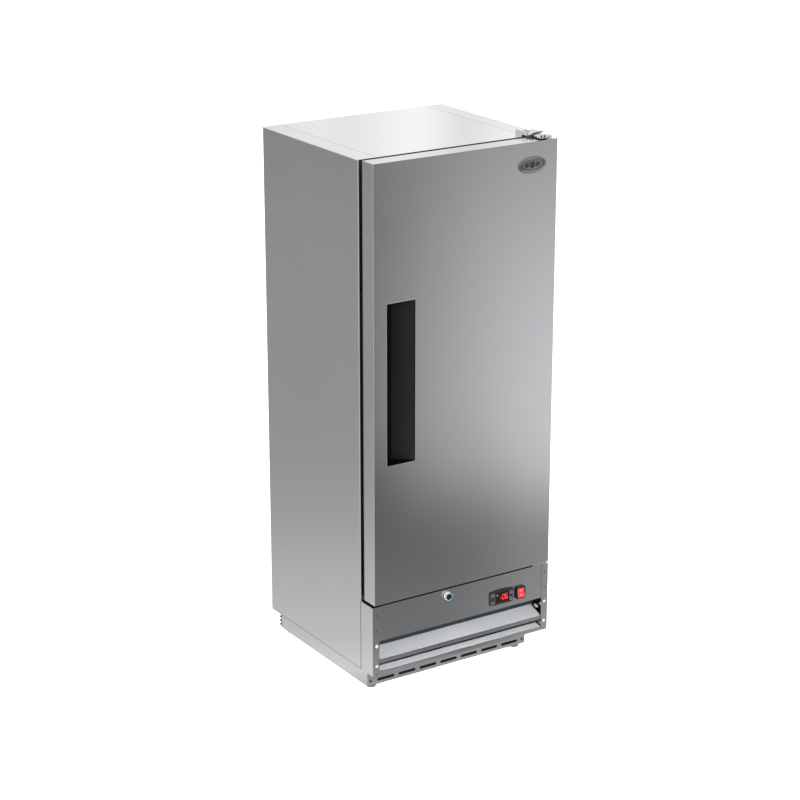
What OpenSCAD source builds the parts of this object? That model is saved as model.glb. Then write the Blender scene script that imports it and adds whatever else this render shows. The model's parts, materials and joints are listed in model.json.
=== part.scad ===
// Reach-in refrigerator: one solid, right-hinged door over a condensing unit on a short plinth.
// Millimetres. +Z up, +X to the right seen from the front, the door faces -Y, and the floor is z = 0.
// Depths below are measured from the cabinet's front plane, where the door gasket seals, at y = yf.

/* [Cabinet] */
// Width over the side panels
cab_w = 630; // [600:1:680]
// Depth from the front plane to the back panel
cab_d = 526.5; // [510:0.5:600]
// Height of the roof above the floor
cab_top = 1608; // [1500:1:1700]
// Height of the side panels' lower edge above the floor
cab_z0 = 80; // [78:0.5:82]
// Thickness of the folded sheet metal
sheet = 1.2; // [0.8:0.1:1.5]
// Insulation thickness, skin to liner
wall = 50; // [45:1:55]
// Underside of the insulated box above the floor
box_z0 = 298; // [298:0.5:299]
// Width of the side panels' fold on the roof
roof_fold = 60; // [50:1:62]

/* [Door] */
// Door width
door_w = 622.5; // [610:0.5:626]
// Door's lower edge above the floor
door_z0 = 305.5; // [305:0.5:307]
// Door thickness without the gasket
door_t = 56.5; // [54:0.5:60]
// Gap that the gasket fills between door and cabinet
gasket_t = 14; // [12:0.5:16]
// Distance of the hinge pins from the centre plane
hinge_x = 290; // [288:0.5:292]
// Distance of the hinge pins in front of the cabinet's front plane
hinge_out = 42; // [41:0.5:43]
// Hinge pin radius
hinge_r = 5; // [4:0.1:6]

/* [Handle recess] */
// Left edge of the recess
pull_x0 = -268; // [-272:1:-264]
// Right edge of the recess
pull_x1 = -173; // [-180:1:-165]
// Lower edge of the recess
pull_z0 = 727; // [700:1:760]
// Upper edge of the recess
pull_z1 = 1207; // [1150:1:1250]
// Depth of the recess behind the door's face
pull_depth = 45; // [38:1:48]

/* [Lower front] */
// Distance of the grille frame's face in front of the cabinet's front plane
front_out = 65; // [62:0.5:68]
// Top of the grille frame above the floor
front_top = 297.5; // [296.5:0.5:297.5]
// Lower edge of the control panel
panel_z0 = 188; // [180:1:192]
// Width of the frame's side flanges
flange_w = 23; // [20:0.5:26]
// Height of the strip under the louvres
strip_h = 10.4; // [8:0.2:12]
// Lock's distance from the centre plane
lock_x = -54; // [-70:1:-40]
// Lock's height above the floor
lock_z = 276.5; // [274:0.5:280]
// Distance of the lock's face in front of the cabinet's front plane
lock_out = 75; // [74:0.5:76]

/* [Plinth] */
// Inset of the plinth from each side
plinth_in = 28; // [20:1:32]
// Setback of the kick plate from the cabinet's front plane
kick_back = 10; // [5:0.5:15]
// Depth of the plinth
plinth_d = 506; // [490:1:510]
// Height of the plinth's lower edge above the floor
foot_h = 12; // [10:0.5:14]

/* [Inside] */
// Heights of the shelf clips above the floor
shelf_z = [640, 910, 1180];
// Lowest and highest point of the evaporator housing
evap_z = [1425, 1556];

/* [Hidden] */
$fn = 48;
// The cabinet's front and back planes, so that the whole object's box is centred on y = 0
yf = -(cab_d - lock_out) / 2;
yb = yf + cab_d;
half = cab_w / 2;
bend_r = 3;
lip = 15;               // depth of the roof's turned-down edges
front_fold = 23;        // width of the side panels' fold on the front plane
back_fold = 18;         // width of the side panels' fold on the back
seam = 0.4;             // open seam between neighbouring sheets
in_x = half - wall;     // liner's half width
in_z0 = box_z0 + wall - 3;
in_z1 = cab_top - wall;
in_y1 = yb - wall;
liner_r = 4;            // corners of the liner and of its opening
door_x = door_w / 2;
door_y0 = yf - gasket_t - door_t;
door_y1 = yf - gasket_t;
door_seam = door_y1 - 3;            // where the door's skin meets its inner pan
door_edge_r = 1.6;                  // outer radius of the skin's upright bends
hinge_y = yf - hinge_out;
bush_r = 9;
bush_len = 22;
pin_gap = 0.05;         // running clearance, radial
face_y = yf - front_out;            // grille frame's face
panel_y = face_y + sheet;           // control panel's face
tray_z = cab_z0 + sheet;            // underside of the base tray
tray_t = 1.5;
px = half - plinth_in;              // plinth's half width
py0 = yf + kick_back;
py1 = py0 + plinth_d;
foot_x = px - 26;
foot_y = [py0 + 22, py1 - 24];
foot_stud_r = 5;
foot_plate_t = 4;
cam_y = panel_y + 7.2;              // front face of the lock's cam
cam_len = 36;
arm_z = cab_top + 3.5;              // underside of the top hinge arm
arm_t = 3.5;
tube_x = 150;                       // pipes on the right of the back wall, the drain on the left
tube_z = evap_z[0] + 22;
shaft_y = in_y1 + 13;

// ---------- shared shapes ----------

// Block between two corners
module block(x, y, z) translate([x[0], y[0], z[0]]) cube([x[1] - x[0], y[1] - y[0], z[1] - z[0]]);

// Rectangle from corner a to corner b with round corners
module round_rect(a, b, r) {
    translate([a[0] + r, a[1]]) square([b[0] - a[0] - 2 * r, b[1] - a[1]]);
    translate([a[0], a[1] + r]) square([b[0] - a[0], b[1] - a[1] - 2 * r]);
    for (x = [a[0] + r, b[0] - r], y = [a[1] + r, b[1] - r]) translate([x, y]) circle(r);
}

// Block along Z whose XY outline has round corners
module post(x, y, z, r) translate([0, 0, z[0]]) linear_extrude(z[1] - z[0])
    round_rect([x[0], y[0]], [x[1], y[1]], r);

// Plate in the XZ plane, between two depths, with round corners
module plate_xz(x, z, y, r) translate([0, y[1], 0]) rotate([90, 0, 0])
    linear_extrude(y[1] - y[0]) round_rect([x[0], z[0]], [x[1], z[1]], r);

// Outline given in X and Z, between two depths
module wall_xz(y) translate([0, y[1], 0]) rotate([90, 0, 0]) linear_extrude(y[1] - y[0]) children();

// Outline given in Y and Z, between two widths
module profile_yz(x) translate([x[0], 0, 0]) rotate([90, 0, 90]) linear_extrude(x[1] - x[0]) children();

// Round bar along Y, X or Z
module bar_y(x, z, y, r) translate([x, y[0], z]) rotate([-90, 0, 0]) cylinder(h = y[1] - y[0], r = r);
module bar_x(y, z, x, r) translate([x[0], y, z]) rotate([0, 90, 0]) cylinder(h = x[1] - x[0], r = r);
module bar_z(x, y, z, r) translate([x, y, z[0]]) cylinder(h = z[1] - z[0], r = r);

// Tube run along a list of points, with round elbows
module run(points, r) {
    for (i = [0 : len(points) - 2]) {
        d = points[i + 1] - points[i];
        translate(points[i])
            rotate([0, acos(d[2] / norm(d)), atan2(d[1], d[0])])
                cylinder(h = norm(d), r = r);
    }
    for (p = points) translate(p) sphere(r);
}

// The part itself and its mirror image across the centre plane
module both() {
    children();
    mirror([1, 0, 0]) children();
}

// The cabinet's outer block, moved in by a distance, with its bends rounded
module cabinet_block(inset) intersection() {
    post([-half + inset, half - inset], [yf + inset, yb - inset],
        [cab_z0 + inset, cab_top - inset], bend_r - inset);
    plate_xz([-half + inset, half - inset], [cab_z0 + inset, cab_top - inset],
        [yf + inset, yb - inset], bend_r - inset);
}

// ---------- cabinet ----------

module side_panel() color([0.80, 0.81, 0.82]) intersection() {
    difference() {
        cabinet_block(0);
        cabinet_block(sheet);
    }
    union() {
        block([half - bend_r, half], [yf, yb], [cab_z0, cab_top]);
        block([half - roof_fold, half], [yf, yb], [cab_top - 2, cab_top]);
        block([half - roof_fold, half], [yf, yb], [cab_top - lip, cab_top]);
        block([half - front_fold, half], [yf, yf + 2], [box_z0, cab_top]);
        block([half - back_fold, half], [yb - 2, yb], [cab_z0, cab_top]);
        block([half - 25, half], [yf, yb], [cab_z0, cab_z0 + sheet]);
    }
}

module left_side_panel() mirror([1, 0, 0]) side_panel();
module right_side_panel() side_panel();

module top_panel() color([0.86, 0.87, 0.88]) {
    x = half - roof_fold - seam;
    intersection() {
        difference() {
            cabinet_block(0);
            cabinet_block(sheet);
        }
        block([-x, x], [yf, yb], [cab_top - lip, cab_top]);
    }
    // laps under the side panels' folds
    both() block([x - 12, x + 14], [yf + 2, yb - 2], [cab_top - 2 * sheet, cab_top - sheet]);
}

module back_panel() color([0.62, 0.63, 0.64]) {
    x = half - back_fold - seam;
    block([-x, x], [yb - sheet, yb], [box_z0, cab_top - lip - seam]);
    // folds forward under the insulated box, with holes for the pipes and the drain
    difference() {
        block([-half + bend_r, half - bend_r], [yf + sheet, yb - sheet], [box_z0, box_z0 + sheet]);
        for (x = [-tube_x, tube_x]) bar_z(x, shaft_y, [box_z0 - 1, box_z0 + 3], 8);
    }
}

// Steel face that the gasket closes on
module front_frame() color([0.74, 0.75, 0.76]) {
    x = half - front_fold - seam;
    wall_xz([yf, yf + sheet]) difference() {
        translate([-x, box_z0 + 0.4]) square([2 * x, cab_top - lip - seam - box_z0 - 0.4]);
        round_rect([-in_x, in_z0], [in_x, in_z1], liner_r);
    }
}

module inner_liner() color([0.88, 0.89, 0.90]) difference() {
    plate_xz([-in_x - sheet, in_x + sheet], [in_z0 - sheet, in_z1 + sheet],
        [yf + sheet, in_y1 + sheet], liner_r + sheet);
    plate_xz([-in_x, in_x], [in_z0, in_z1], [yf, in_y1], liner_r);
    tube_holes();
}

// Holes for the pipes and the drain, from the evaporator housing into the wall
module tube_holes() {
    bar_y(tube_x, tube_z, [in_y1 - 5, in_y1 + 15], 9);
    bar_y(-tube_x, tube_z, [in_y1 - 5, in_y1 + 15], 9);
}

module foam_insulation() color([0.93, 0.88, 0.62]) difference() {
    intersection() {
        cabinet_block(sheet + 0.05);
        block([-half, half], [yf + sheet, yb], [box_z0 + sheet, cab_top]);
    }
    plate_xz([-in_x - sheet, in_x + sheet], [in_z0 - sheet, in_z1 + sheet],
        [yf, in_y1 + sheet], liner_r + sheet);
    // room for the roof's laps
    both() block([half - roof_fold - 13, half - roof_fold + 15], [yf, yb],
        [cab_top - 2 * sheet - 0.1, cab_top]);
    // shafts in the back wall for the pipes and for the drain
    for (x = [-tube_x, tube_x])
        block([x - 9, x + 9], [in_y1, in_y1 + 30], [box_z0, tube_z + 9]);
}

// ---------- machine compartment and plinth ----------

module base_tray() color([0.60, 0.62, 0.63])
    block([-half + bend_r, half - bend_r], [face_y + sheet, yb - 3.6], [tray_z, tray_z + tray_t]);

module rear_cover() color([0.45, 0.46, 0.47]) difference() {
    block([-half + bend_r, half - bend_r], [yb - 2 * sheet - 1, yb - sheet],
        [tray_z + tray_t, box_z0]);
    block([-half, half], [yb - 2 * sheet - 2, yb - 2 * sheet], [tray_z + tray_t + 8, box_z0 - 8]);
    // air slots
    for (i = [-3 : 3], j = [0 : 5])
        plate_xz([i * 72 - 28, i * 72 + 28], [150 + 22 * j, 158 + 22 * j], [yb - 9, yb + 1], 3.9);
    bar_y(gland_x, gland_z, [yb - 9, yb + 1], gland_r + 0.05);
}

gland_x = 235;
gland_z = 118;
gland_r = 10;

module cord_gland() color([0.08, 0.08, 0.09]) difference() {
    union() {
        bar_y(gland_x, gland_z, [yb - 2 * sheet, yb - sheet], gland_r);
        bar_y(gland_x, gland_z, [yb - sheet, yb], gland_r + 3);
        bar_y(gland_x, gland_z, [yb - 12, yb - 2 * sheet], gland_r - 1);
    }
    bar_y(gland_x, gland_z, [yb - 13, yb + 1], 4.2);
}

module base_frame() color([0.70, 0.71, 0.72]) difference() {
    union() {
        both() {
            block([px - sheet, px], [py0 + sheet, py1 - sheet], [foot_h, cab_z0]);
            block([px - 30, px], [py0 + sheet, py1 - sheet], [cab_z0 - sheet, cab_z0]);
            block([px - 14, px], [py0 + sheet, py1 - sheet], [foot_h, foot_h + sheet]);
        }
        // cross rails behind the kick plate and in front of the rear grille
        for (y = [py0 + sheet, py1 - 2 * sheet]) {
            block([-px, px], [y, y + sheet], [cab_z0 - 34, cab_z0]);
            both() block([foot_x, px], [y, y + sheet], [foot_h, cab_z0]);
        }
        // corner plates for the feet
        for (y = [[py0 + sheet, py0 + 44], [py1 - 46, py1 - sheet]])
            both() block([foot_x - 24, px], y, [foot_h, foot_h + foot_plate_t]);
    }
    for (x = [-foot_x, foot_x], y = foot_y) bar_z(x, y, [foot_h - 1, foot_h + 9], foot_stud_r + pin_gap);
}

module kick_plate() color([0.42, 0.44, 0.45]) difference() {
    plate_xz([-px, px], [foot_h, cab_z0], [py0, py0 + sheet], 3);
    for (i = [-3 : 3])
        plate_xz([i * 75 - 27, i * 75 + 33], [21, 29.5], [py0 - 1, py0 + 4], 4.2);
}

// Black pressed louvres that close the plinth's back
module base_rear_grille() color([0.12, 0.12, 0.13]) {
    block([-px, px], [py1 - sheet, py1], [foot_h, cab_z0]);
    for (i = [0 : 3]) {
        z = foot_h + 14 + 12 * i;
        profile_yz([-px, px])
            polygon([[py1, z], [py1 + 8, z - 4], [py1 + 8, z - 5.2], [py1, z - 3]]);
    }
}

// Levelling foot: round pad, hexagon and threaded stud
module foot(x, y) color([0.35, 0.36, 0.37]) {
    bar_z(x, y, [0, 5], 15);
    translate([x, y, 5]) cylinder(h = foot_h - 5, r = 9, $fn = 6);
    bar_z(x, y, [foot_h, foot_h + 34], foot_stud_r);
}

module foot_front_left() foot(-foot_x, foot_y[0]);
module foot_front_right() foot(foot_x, foot_y[0]);
module foot_rear_left() foot(-foot_x, foot_y[1]);
module foot_rear_right() foot(foot_x, foot_y[1]);

// ---------- lower front ----------

flange_x = half - flange_w;
cheek_gap = 0.8;            // open joint between the frame and the cabinet's front plane
ctl_x = [99.5, 185];        // controller's bezel
ctl_z = [204.6, 248];
sw_x = [195.2, 226.8];      // switch's frame
sw_z = [207.5, 245];

module grille_frame() color([0.44, 0.46, 0.47]) difference() {
    union() {
        both() {
            block([flange_x, half], [face_y, face_y + sheet], [cab_z0, front_top]);
            block([half - sheet, half], [face_y, yf - cheek_gap], [cab_z0, front_top]);
        }
        block([-half, half], [face_y, face_y + sheet], [cab_z0, cab_z0 + strip_h]);
        block([-half, half], [face_y, yf - cheek_gap], [cab_z0, cab_z0 + sheet]);
        block([-half, half], [panel_y + sheet, yf - cheek_gap], [front_top - sheet, front_top]);
    }
    cam_slot([front_top - 5, front_top + 5]);
    // air inlet in the underside, ahead of the plinth
    block([-px + 20, px - 20], [yf - 40, yf - 12], [cab_z0 - 1, cab_z0 + 5]);
}

// Slot that the lock's cam swings up through
module cam_slot(z) block([lock_x - cam_len + 3, lock_x + 8], [cam_y - 1.5, cam_y + 4.5], z);

module control_panel() color([0.44, 0.46, 0.47]) difference() {
    union() {
        block([-half + sheet, half - sheet], [panel_y, panel_y + sheet], [panel_z0, front_top]);
        block([-flange_x, flange_x], [panel_y, panel_y + 18], [panel_z0, panel_z0 + sheet]);
    }
    bar_y(lock_x, lock_z, [panel_y - 1, panel_y + 3], 9);
    block([ctl_x[0] + 6, ctl_x[1] - 6], [panel_y - 1, panel_y + 3], [ctl_z[0] + 6, ctl_z[1] - 6]);
    block([sw_x[0] + 2, sw_x[1] - 2], [panel_y - 1, panel_y + 3], [sw_z[0] + 2, sw_z[1] - 2]);
}

// Louvre blade: a lip at the front, then a long slope up to the back
module louvre(z, drop, depth, rise) color([0.80, 0.81, 0.82]) {
    x = flange_x - 2;
    back_y = face_y + depth;
    slope = rise / depth;
    profile_yz([-x, x]) polygon([
        [face_y + 0.2, z], [back_y, z + slope * (back_y - face_y)],
        [back_y, z + slope * (back_y - face_y) - 1.6], [face_y + 1.8, z - 1.6],
        [face_y + 1.8, z - drop], [face_y + 0.2, z - drop]]);
    // end tabs that screw to the frame's cheeks
    both() block([x - 1.5, x], [face_y + 8, back_y - 2],
        [z + slope * 40 - 12, z + slope * 12 - 1]);
}

module upper_louvre() louvre(130, 11, 52, 18.5);
module lower_louvre() louvre(92.6, 2, 25, 5);

// Screws and rivets in the frame's flanges and the kick plate
module panel_fasteners() color([0.86, 0.87, 0.88]) {
    for (x = [-302, 302]) {
        for (z = [272, 221.5]) button_head(x, z, face_y, 2.6, 0.8);
        for (z = [174.5, 111]) button_head(x, z, face_y, 5.2, 2.2);
        button_head(x, 86, face_y, 2.2, 0.8);
    }
    for (x = [-276, 276]) button_head(x, 26, py0, 4, 1.6);
}

// Low domed head on a short shank that points into the panel
module button_head(x, z, y, r, h) translate([x, y, z]) rotate([90, 0, 0]) {
    intersection() {
        cylinder(h = h, r = r);
        translate([0, 0, h - (r * r + h * h) / (2 * h)]) sphere((r * r + h * h) / (2 * h));
    }
    translate([0, 0, -3]) cylinder(h = 3.2, r = r * 0.45);
}

// Controller: a bezel on the panel with an arched top, and the body behind it
module controller_housing() color([0.10, 0.10, 0.11]) {
    arch_r = 260;
    mid = (ctl_x[0] + ctl_x[1]) / 2;
    difference() {
        union() {
            wall_xz([panel_y - 3.2, panel_y]) {
                round_rect([ctl_x[0], ctl_z[0]], [ctl_x[1], ctl_z[1]], 6);
                intersection() {
                    translate([mid, ctl_z[1] + 4 - arch_r]) circle(arch_r, $fn = 240);
                    translate([ctl_x[0] + 0.5, ctl_z[1] - 7]) square([ctl_x[1] - ctl_x[0] - 1, 20]);
                }
            }
            block([ctl_x[0] + 7, ctl_x[1] - 7], [panel_y, panel_y + 52], [ctl_z[0] + 7, ctl_z[1] - 7]);
        }
        // window pocket
        wall_xz([panel_y - 4, panel_y - 2]) round_rect([window_x[0], window_z[0]], [window_x[1], window_z[1]], 2);
        for (b = button_at) bar_y(b[0], b[1], [panel_y - 4, panel_y - 0.5], 4.15);
    }
}

window_x = [119.5, 170.5];
window_z = [211, 243];
button_at = [[109.5, 236], [109.5, 214], [177.6, 234], [177.6, 214.5]];

module display_window() color([0.25, 0.02, 0.02])
    wall_xz([panel_y - 3, panel_y - 2]) round_rect([window_x[0], window_z[0]], [window_x[1], window_z[1]], 2);

// Key of the controller
module button(i) color([0.22, 0.22, 0.23])
    bar_y(button_at[i][0], button_at[i][1], [panel_y - 4, panel_y - 1.6], 4);

module button_upper_left() button(0);
module button_lower_left() button(1);
module button_upper_right() button(2);
module button_lower_right() button(3);

sw_out = 8;                 // how far the switch's frame stands out of the panel
sw_mid = [(sw_x[0] + sw_x[1]) / 2, 225.4];
sw_pivot_y = panel_y - 2;
rocker_w = 24;
rocker_h = 30;
rocker_tilt = 7;

module switch_housing() color([0.05, 0.05, 0.06]) difference() {
    union() {
        wall_xz([panel_y - sw_out, panel_y]) round_rect([sw_x[0], sw_z[0]], [sw_x[1], sw_z[1]], 2.5);
        block([sw_x[0] + 2.5, sw_x[1] - 2.5], [panel_y, panel_y + 24], [sw_z[0] + 2.5, sw_z[1] - 2.5]);
    }
    // well for the rocker, shallower in height behind its pivot
    rocker_well([panel_y - sw_out - 1, panel_y - 0.6], rocker_h / 2 + 0.6);
    rocker_well([panel_y - 1, panel_y + 8], rocker_h / 2 - 2);
    bar_x(sw_pivot_y, sw_mid[1], [sw_mid[0] - rocker_w / 2 - 2.5, sw_mid[0] + rocker_w / 2 + 2.5],
        1.5 + pin_gap);
}

module rocker_well(y, h) block([sw_mid[0] - rocker_w / 2 - 0.4, sw_mid[0] + rocker_w / 2 + 0.4],
    y, [sw_mid[1] - h, sw_mid[1] + h]);

// Rocker: two faces that meet at a shallow angle, on a pin across the frame
module switch_rocker() color([0.86, 0.10, 0.08]) {
    tip = rocker_h / 2 - 0.6;
    profile_yz([sw_mid[0] - rocker_w / 2, sw_mid[0] + rocker_w / 2])
        translate([sw_pivot_y, sw_mid[1]]) rotate(-rocker_tilt) polygon([
            [-7.2, -tip], [-4.6, 0], [-7.2, tip], [-1, tip - 1.5], [4, 4], [4, -4], [-1, 1.5 - tip]]);
    bar_x(sw_pivot_y, sw_mid[1], [sw_mid[0] - rocker_w / 2 - 2.3, sw_mid[0] + rocker_w / 2 + 2.3], 1.5);
}

lock_y = yf - lock_out;     // the plug's face
cap_r = 10.2;
cap_t = 3;
tail_r = 6.8;

module lock_barrel() color([0.90, 0.91, 0.92]) difference() {
    union() {
        bar_y(lock_x, lock_z, [lock_y + 0.6, panel_y - 1.5], 11.5);
        bar_y(lock_x, lock_z, [panel_y - 1.5, panel_y], 12.8);
        bar_y(lock_x, lock_z, [panel_y, panel_y + 6], 8.9);
        // nut behind the panel
        translate([lock_x, panel_y + 4.6, lock_z]) rotate([90, 30, 0]) cylinder(h = 3.4, r = 12.5, $fn = 6);
    }
    bar_y(lock_x, lock_z, [lock_y - 1, lock_y + cap_t + 0.1], cap_r + pin_gap);
    bar_y(lock_x, lock_z, [lock_y - 1, panel_y + 7], tail_r + pin_gap);
}

// Plug with its keyway, and the cam on its tail, which lies to the left when unlocked
module lock_plug() color([0.10, 0.28, 0.36]) {
    difference() {
        union() {
            bar_y(lock_x, lock_z, [lock_y, lock_y + cap_t], cap_r);
            bar_y(lock_x, lock_z, [lock_y, cam_y], tail_r);
        }
        block([lock_x - 0.7, lock_x + 0.7], [lock_y - 1, lock_y + 8], [lock_z - 4, lock_z + 4]);
    }
    bar_y(lock_x, lock_z, [cam_y, cam_y + 3.5], 5);
    block([lock_x - cam_len + 5, lock_x], [cam_y, cam_y + 2.5], [lock_z - 5, lock_z + 5]);
    bar_y(lock_x - cam_len + 5, lock_z, [cam_y, cam_y + 2.5], 5);
}

// ---------- condensing unit ----------

coil_x = [-235, 95];
coil_y = [yf + 20, yf + 62];
coil_z = [96, 282];
fan_x = -70;
fan_z = 188;
fan_y = yf + 92;

module condenser_coil() color([0.75, 0.70, 0.66]) {
    for (x = [coil_x[0] : 11 : coil_x[1]])
        block([x - 0.3, x + 0.3], coil_y, coil_z);
    for (x = coil_x) block([x - 1, x + 1], [coil_y[0] - 2, coil_y[1] + 2], [tray_z + tray_t, coil_z[1] + 2]);
    for (i = [0 : 6], y = [coil_y[0] + 11, coil_y[1] - 11])
        bar_x(y, coil_z[0] + 14 + 26 * i, [coil_x[0] - 6, coil_x[1] + 6], 4.5);
}

module fan_shroud() color([0.30, 0.31, 0.32]) {
    y0 = coil_y[1] + 4;
    difference() {
        union() {
            block([coil_x[0], coil_x[1]], [y0, y0 + 2], [tray_z + tray_t, coil_z[1]]);
            bar_y(fan_x, fan_z, [y0, y0 + 28], 88);
        }
        bar_y(fan_x, fan_z, [y0 - 1, y0 + 29], 86);
    }
    // three arms and a ring that carry the motor behind the fan
    difference() {
        union() {
            bar_y(fan_x, fan_z, [y0 + 24, y0 + 26.5], 30);
            for (a = [90, 210, 330]) translate([fan_x, y0 + 24.5, fan_z]) rotate([0, a, 0])
                translate([24, 0, -4]) cube([63, 1.5, 8]);
        }
        bar_y(fan_x, fan_z, [y0 + 23, y0 + 28], 6);
    }
}

module condenser_motor() color([0.16, 0.16, 0.17]) {
    y0 = coil_y[1] + 30.5;
    bar_y(fan_x, fan_z, [y0, y0 + 48], 27);
    bar_y(fan_x, fan_z, [y0 + 48, y0 + 54], 12);
    bar_y(fan_x, fan_z, [y0 - 22, y0], 3);
}

// Hub and blades on the motor's shaft; the hub's bore runs on the shaft
module axial_fan(r, hub_r, blades, depth, bore) difference() {
    union() {
        cylinder(h = depth, r = hub_r);
        for (i = [0 : blades - 1]) rotate(360 / blades * i)
            translate([0, 0, depth / 2]) rotate([28, 0, 0]) linear_extrude(1.6, center = true)
                polygon([[hub_r - 4, -7], [r * 0.6, -r * 0.20], [r * 0.94, -r * 0.24], [r * 0.97, r * 0.06],
                    [r * 0.8, r * 0.24], [hub_r - 4, 7]]);
    }
    translate([0, 0, -1]) cylinder(h = depth + 2, r = bore);
}

module condenser_fan() color([0.78, 0.80, 0.82])
    translate([fan_x, coil_y[1] + 23, fan_z]) rotate([90, 0, 0]) axial_fan(82, 20, 5, 14, 3 + pin_gap);

comp = [150, yf + 330];     // compressor's axis
comp_r = 76;

module compressor() color([0.07, 0.07, 0.08]) {
    z0 = tray_z + tray_t;
    translate([comp[0], comp[1], z0 + 14]) rotate_extrude($fn = 72) {
        translate([0, 22]) square([comp_r, 96]);
        intersection() {
            translate([0, 118]) circle(comp_r);
            translate([0, 118]) square([comp_r, 34]);
        }
        translate([0, 8]) square([comp_r - 12, 16]);
    }
    // foot plate and its rubber grommets
    block([comp[0] - 95, comp[0] + 95], [comp[1] - 62, comp[1] + 62], [z0 + 18, z0 + 21]);
    for (x = [-82, 82], y = [-50, 50]) bar_z(comp[0] + x, comp[1] + y, [z0, z0 + 24], 11);
    // terminal cover
    block([comp[0] - 30, comp[0] + 30], [comp[1] - comp_r - 22, comp[1] - comp_r + 12], [z0 + 50, z0 + 110]);
}

module filter_drier() color([0.72, 0.45, 0.25]) {
    bar_y(230, 238, [yf + 100, yf + 190], 11);
    bar_y(230, 238, [yf + 88, yf + 202], 5);
}

// Discharge, liquid and suction lines
module refrigerant_tubes() color([0.78, 0.47, 0.28]) {
    top = tray_z + tray_t + 120;
    run([[comp[0] - 55, comp[1], top], [comp[0] - 120, comp[1], top], [comp[0] - 120, yf + 140, top],
        [125, yf + 140, top], [125, coil_y[1] - 11, top], [coil_x[1] + 6, coil_y[1] - 11, top]], 4);
    run([[coil_x[1] + 6, coil_y[0] + 11, 110], [200, coil_y[0] + 11, 110], [200, yf + 76, 110],
        [230, yf + 76, 110], [230, yf + 76, 238], [230, yf + 88, 238]], 3.5);
    run([[230, yf + 202, 238], [230, yf + 225, 238], [230, yf + 225, 270], [tube_x, yf + 225, 270],
        [tube_x, shaft_y, 270], [tube_x, shaft_y, tube_z], [tube_x, in_y1 - 24, tube_z]], 3);
}

module drain_pan() color([0.20, 0.21, 0.22]) {
    z0 = tray_z + tray_t;
    x = [-250, -60];
    y = [yf + 330, yf + 470];
    difference() {
        post(x, y, [z0, z0 + 34], 8);
        post([x[0] + 2, x[1] - 2], [y[0] + 2, y[1] - 2], [z0 + 2, z0 + 40], 6);
    }
    // drain hose from the evaporator's tray
    run([[-tube_x, in_y1 - 24, tube_z], [-tube_x, shaft_y, tube_z], [-tube_x, shaft_y, z0 + 26]], 6);
    bar_z(-tube_x, shaft_y, [z0 + 1, z0 + 26], 6);
}

// ---------- inside ----------

evap_x = 235;
evap_y = [yf + 250, in_y1];
efan_x = 0;
efan_z = evap_z[0] + 72;

// Housing under the ceiling: blower opening to the front, return slots below
module evaporator_cover() color([0.90, 0.91, 0.92]) difference() {
    block([-evap_x, evap_x], evap_y, evap_z);
    block([-evap_x + sheet, evap_x - sheet], [evap_y[0] + sheet, evap_y[1] + 1], [evap_z[0] + sheet, evap_z[1] + 1]);
    bar_y(efan_x, efan_z, [evap_y[0] - 1, evap_y[0] + 3], 58);
    for (i = [-4 : 4], y = [evap_y[0] + 60, evap_y[0] + 110])
        post([i * 48 - 18, i * 48 + 18], [y, y + 8], [evap_z[0] - 1, evap_z[0] + 3], 3.9);
}

module evaporator_coil() color([0.80, 0.82, 0.84]) {
    y = [evap_y[0] + 120, evap_y[0] + 195];
    z = [evap_z[0] + 36, evap_z[1] - 8];
    for (x = [-200 : 16 : 200]) block([x - 0.3, x + 0.3], y, z);
    for (x = [-204, 204]) block([x - 1, x + 1], [y[0] - 2, y[1] + 2], [evap_z[0] + sheet, z[1] + 2]);
    for (i = [0 : 2], j = [0 : 2])
        bar_x(y[0] + 14 + 23 * i, z[0] + 14 + 29 * j, [-212, 212], 4.5);
}

module evaporator_motor() color([0.16, 0.16, 0.17]) {
    bar_y(efan_x, efan_z, [evap_y[0] + 36, evap_y[0] + 78], 24);
    bar_y(efan_x, efan_z, [evap_y[0] + 10, evap_y[0] + 36], 2.5);
    // bracket down to the housing's floor
    block([efan_x - 14, efan_x + 14], [evap_y[0] + 50, evap_y[0] + 53], [evap_z[0] + sheet, efan_z - 10]);
}

module evaporator_fan() color([0.85, 0.86, 0.88])
    translate([efan_x, evap_y[0] + 26, efan_z]) rotate([90, 0, 0]) axial_fan(54, 14, 5, 12, 2.5 + pin_gap);

pil_y = [yf + 70, yf + 400];
pil_z = [in_z0 + 30, evap_z[0] - 20];
pil_t = 8;

module shelf_pilasters() color([0.80, 0.81, 0.82]) both() for (y = pil_y) difference() {
    block([in_x - pil_t, in_x], [y - 9, y + 9], pil_z);
    block([in_x - pil_t + 1.5, in_x + 1], [y - 7.5, y + 7.5], [pil_z[0] - 1, pil_z[1] + 1]);
    for (z = [pil_z[0] + 25 : 45 : pil_z[1] - 20])
        block([in_x - pil_t - 1, in_x - pil_t + 3], [y - 4, y + 4], [z, z + 6]);
}

// Clips that stand out from the pilasters and hold the shelves
module shelf_clips() color([0.75, 0.76, 0.77])
    for (z = shelf_z, y = pil_y) both() {
        block([in_x - pil_t - 13, in_x - pil_t], [y - 3.5, y + 3.5], [z - 6, z]);
        block([in_x - pil_t - 2, in_x - pil_t], [y - 3.5, y + 3.5], [z - 16, z]);
    }

shelf_x = in_x - pil_t - 2;
shelf_y = [yf + 30, yf + 430];

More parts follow.
